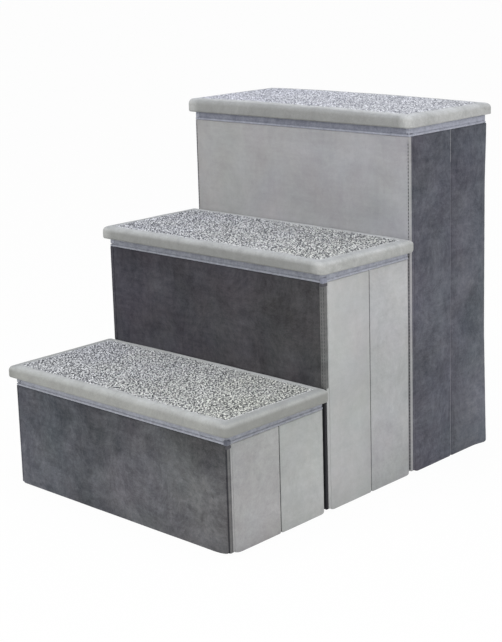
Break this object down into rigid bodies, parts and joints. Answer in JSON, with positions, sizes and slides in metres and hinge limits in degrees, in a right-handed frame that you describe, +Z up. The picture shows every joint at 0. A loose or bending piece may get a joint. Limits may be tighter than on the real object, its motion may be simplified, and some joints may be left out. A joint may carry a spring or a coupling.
{
  "type": "pet stairs",
  "caption": "Three linked storage boxes of rising height with padded carpet-topped lids, forming steps for a pet; side walls crease inward so each box folds flat.",
  "frame": {"origin": "on the floor, under the middle of the whole object's box", "axes": "+Z up, +Y to the rear where the tallest box stands, +X to the right seen from the front; the part is symmetric about X = 0"},
  "size_m": [0.416, 0.5498, 0.4989],
  "materials": {
    "dark_velour": "short-pile dark grey velour, matt",
    "light_velour": "short-pile light grey velour, matt",
    "lining": "lavender-grey lining and binding cloth over board",
    "plush": "warm grey short plush",
    "carpet": "speckled white, grey and black loop pile",
    "foam": "open-cell foam",
    "lid_board": "pressed fibreboard",
    "hook_tape": "woven hook and loop tape",
    "base_cloth": "non-woven cloth"
  },
  "bodies": {
    "riser_3": {"front_3_velour": "light_velour", "front_3_board": "lining", "link_tapes_2": "hook_tape", "rear_2_velour": "light_velour", "rear_2_board": "lining", "base_cloth_2": "base_cloth"},
    "box_3_rear": {"rear_3_velour": "dark_velour", "rear_3_board": "lining", "base_cloth_3": "base_cloth"},
    "riser_2": {"front_2_velour": "dark_velour", "front_2_board": "lining", "link_tapes_1": "hook_tape", "rear_1_velour": "light_velour", "rear_1_board": "lining", "base_cloth_1": "base_cloth"},
    "box_1_front": {"front_1_velour": "dark_velour", "front_1_board": "lining"},
    "right_3_front": {"right_3_front_velour": "dark_velour", "right_3_front_board": "lining"},
    "right_3_rear": {"right_3_rear_velour": "dark_velour", "right_3_rear_board": "lining"},
    "left_3_front": {"left_3_front_velour": "dark_velour", "left_3_front_board": "lining"},
    "left_3_rear": {"left_3_rear_velour": "dark_velour", "left_3_rear_board": "lining"},
    "lid_3": {"lid_3_board": "lid_board", "lid_3_foam": "foam", "lid_3_border": "plush", "lid_3_carpet": "carpet", "lid_3_hooks": "hook_tape"},
    "right_2_rear": {"right_2_rear_velour": "light_velour", "right_2_rear_board": "lining"},
    "right_2_front": {"right_2_front_velour": "light_velour", "right_2_front_board": "lining"},
    "left_2_rear": {"left_2_rear_velour": "light_velour", "left_2_rear_board": "lining"},
    "left_2_front": {"left_2_front_velour": "light_velour", "left_2_front_board": "lining"},
    "lid_2": {"lid_2_board": "lid_board", "lid_2_foam": "foam", "lid_2_border": "plush", "lid_2_carpet": "carpet", "lid_2_hooks": "hook_tape"},
    "right_1_rear": {"right_1_rear_velour": "light_velour", "right_1_rear_board": "lining"},
    "right_1_front": {"right_1_front_velour": "light_velour", "right_1_front_board": "lining"},
    "left_1_rear": {"left_1_rear_velour": "light_velour", "left_1_rear_board": "lining"},
    "left_1_front": {"left_1_front_velour": "light_velour", "left_1_front_board": "lining"},
    "lid_1": {"lid_1_board": "lid_board", "lid_1_foam": "foam", "lid_1_border": "plush", "lid_1_carpet": "carpet", "lid_1_hooks": "hook_tape"}
  },
  "joints": [
    {"name": "fold_3", "type": "hinge", "parent": "riser_3", "child": "right_3_front", "pos_m": [0.19175, 0.1048, 0], "axis": [0, 0, -1], "range_deg": [-88, 0], "deforming": ["base_cloth_3"]},
    {"name": "crease_3_right", "type": "hinge", "parent": "right_3_front", "child": "right_3_rear", "pos_m": [0.2003, 0.18605, 0], "axis": [0, 0, -1], "range_deg": [0, 176]},
    {"name": "corner_3", "type": "hinge", "parent": "right_3_rear", "child": "box_3_rear", "pos_m": [0.19175, 0.2673, 0], "axis": [0, 0, -1], "range_deg": [-88, 0]},
    {"name": "fold_3_left", "type": "hinge", "parent": "riser_3", "child": "left_3_front", "pos_m": [-0.19175, 0.1048, 0], "axis": [0, 0, -1], "range_deg": [0, 88]},
    {"name": "crease_3_left", "type": "hinge", "parent": "left_3_front", "child": "left_3_rear", "pos_m": [-0.2003, 0.18605, 0], "axis": [0, 0, -1], "range_deg": [-176, 0]},
    {"name": "lid_3_lift", "type": "slide", "parent": "box_3_rear", "child": "lid_3", "axis": [0, 0, 1], "range_m": [0, 0.25]},
    {"name": "fold_2", "type": "hinge", "parent": "riser_3", "child": "right_2_rear", "pos_m": [0.19175, 0.0862, 0], "axis": [0, 0, 1], "range_deg": [-88, 0], "deforming": ["base_cloth_2"]},
    {"name": "crease_2_right", "type": "hinge", "parent": "right_2_rear", "child": "right_2_front", "pos_m": [0.2003, 0.00495, 0], "axis": [0, 0, 1], "range_deg": [0, 176]},
    {"name": "corner_2", "type": "hinge", "parent": "right_2_front", "child": "riser_2", "pos_m": [0.19175, -0.0763, 0], "axis": [0, 0, 1], "range_deg": [-88, 0]},
    {"name": "fold_2_left", "type": "hinge", "parent": "riser_3", "child": "left_2_rear", "pos_m": [-0.19175, 0.0862, 0], "axis": [0, 0, 1], "range_deg": [0, 88]},
    {"name": "crease_2_left", "type": "hinge", "parent": "left_2_rear", "child": "left_2_front", "pos_m": [-0.2003, 0.00495, 0], "axis": [0, 0, 1], "range_deg": [-176, 0]},
    {"name": "lid_2_lift", "type": "slide", "parent": "riser_3", "child": "lid_2", "axis": [0, 0, 1], "range_m": [0, 0.12]},
    {"name": "fold_1", "type": "hinge", "parent": "riser_2", "child": "right_1_rear", "pos_m": [0.19175, -0.0949, 0], "axis": [0, 0, 1], "range_deg": [-88, 0], "deforming": ["base_cloth_1"]},
    {"name": "crease_1_right", "type": "hinge", "parent": "right_1_rear", "child": "right_1_front", "pos_m": [0.2003, -0.17615, 0], "axis": [0, 0, 1], "range_deg": [0, 176]},
    {"name": "corner_1", "type": "hinge", "parent": "right_1_front", "child": "box_1_front", "pos_m": [0.19175, -0.2574, 0], "axis": [0, 0, 1], "range_deg": [-88, 0]},
    {"name": "fold_1_left", "type": "hinge", "parent": "riser_2", "child": "left_1_rear", "pos_m": [-0.19175, -0.0949, 0], "axis": [0, 0, 1], "range_deg": [0, 88]},
    {"name": "crease_1_left", "type": "hinge", "parent": "left_1_rear", "child": "left_1_front", "pos_m": [-0.2003, -0.17615, 0], "axis": [0, 0, 1], "range_deg": [-176, 0]},
    {"name": "lid_1_lift", "type": "slide", "parent": "riser_2", "child": "lid_1", "axis": [0, 0, 1], "range_m": [0, 0.12]}
  ],
  "couplings": [
    {"joint": "crease_3_right", "follows": "fold_3", "ratio": -2},
    {"joint": "corner_3", "follows": "fold_3", "ratio": 1},
    {"joint": "fold_3_left", "follows": "fold_3", "ratio": -1},
    {"joint": "crease_3_left", "follows": "fold_3", "ratio": 2},
    {"joint": "crease_2_right", "follows": "fold_2", "ratio": -2},
    {"joint": "corner_2", "follows": "fold_2", "ratio": 1},
    {"joint": "fold_2_left", "follows": "fold_2", "ratio": -1},
    {"joint": "crease_2_left", "follows": "fold_2", "ratio": 2},
    {"joint": "crease_1_right", "follows": "fold_1", "ratio": -2},
    {"joint": "corner_1", "follows": "fold_1", "ratio": 1},
    {"joint": "fold_1_left", "follows": "fold_1", "ratio": -1},
    {"joint": "crease_1_left", "follows": "fold_1", "ratio": 2}
  ]
}
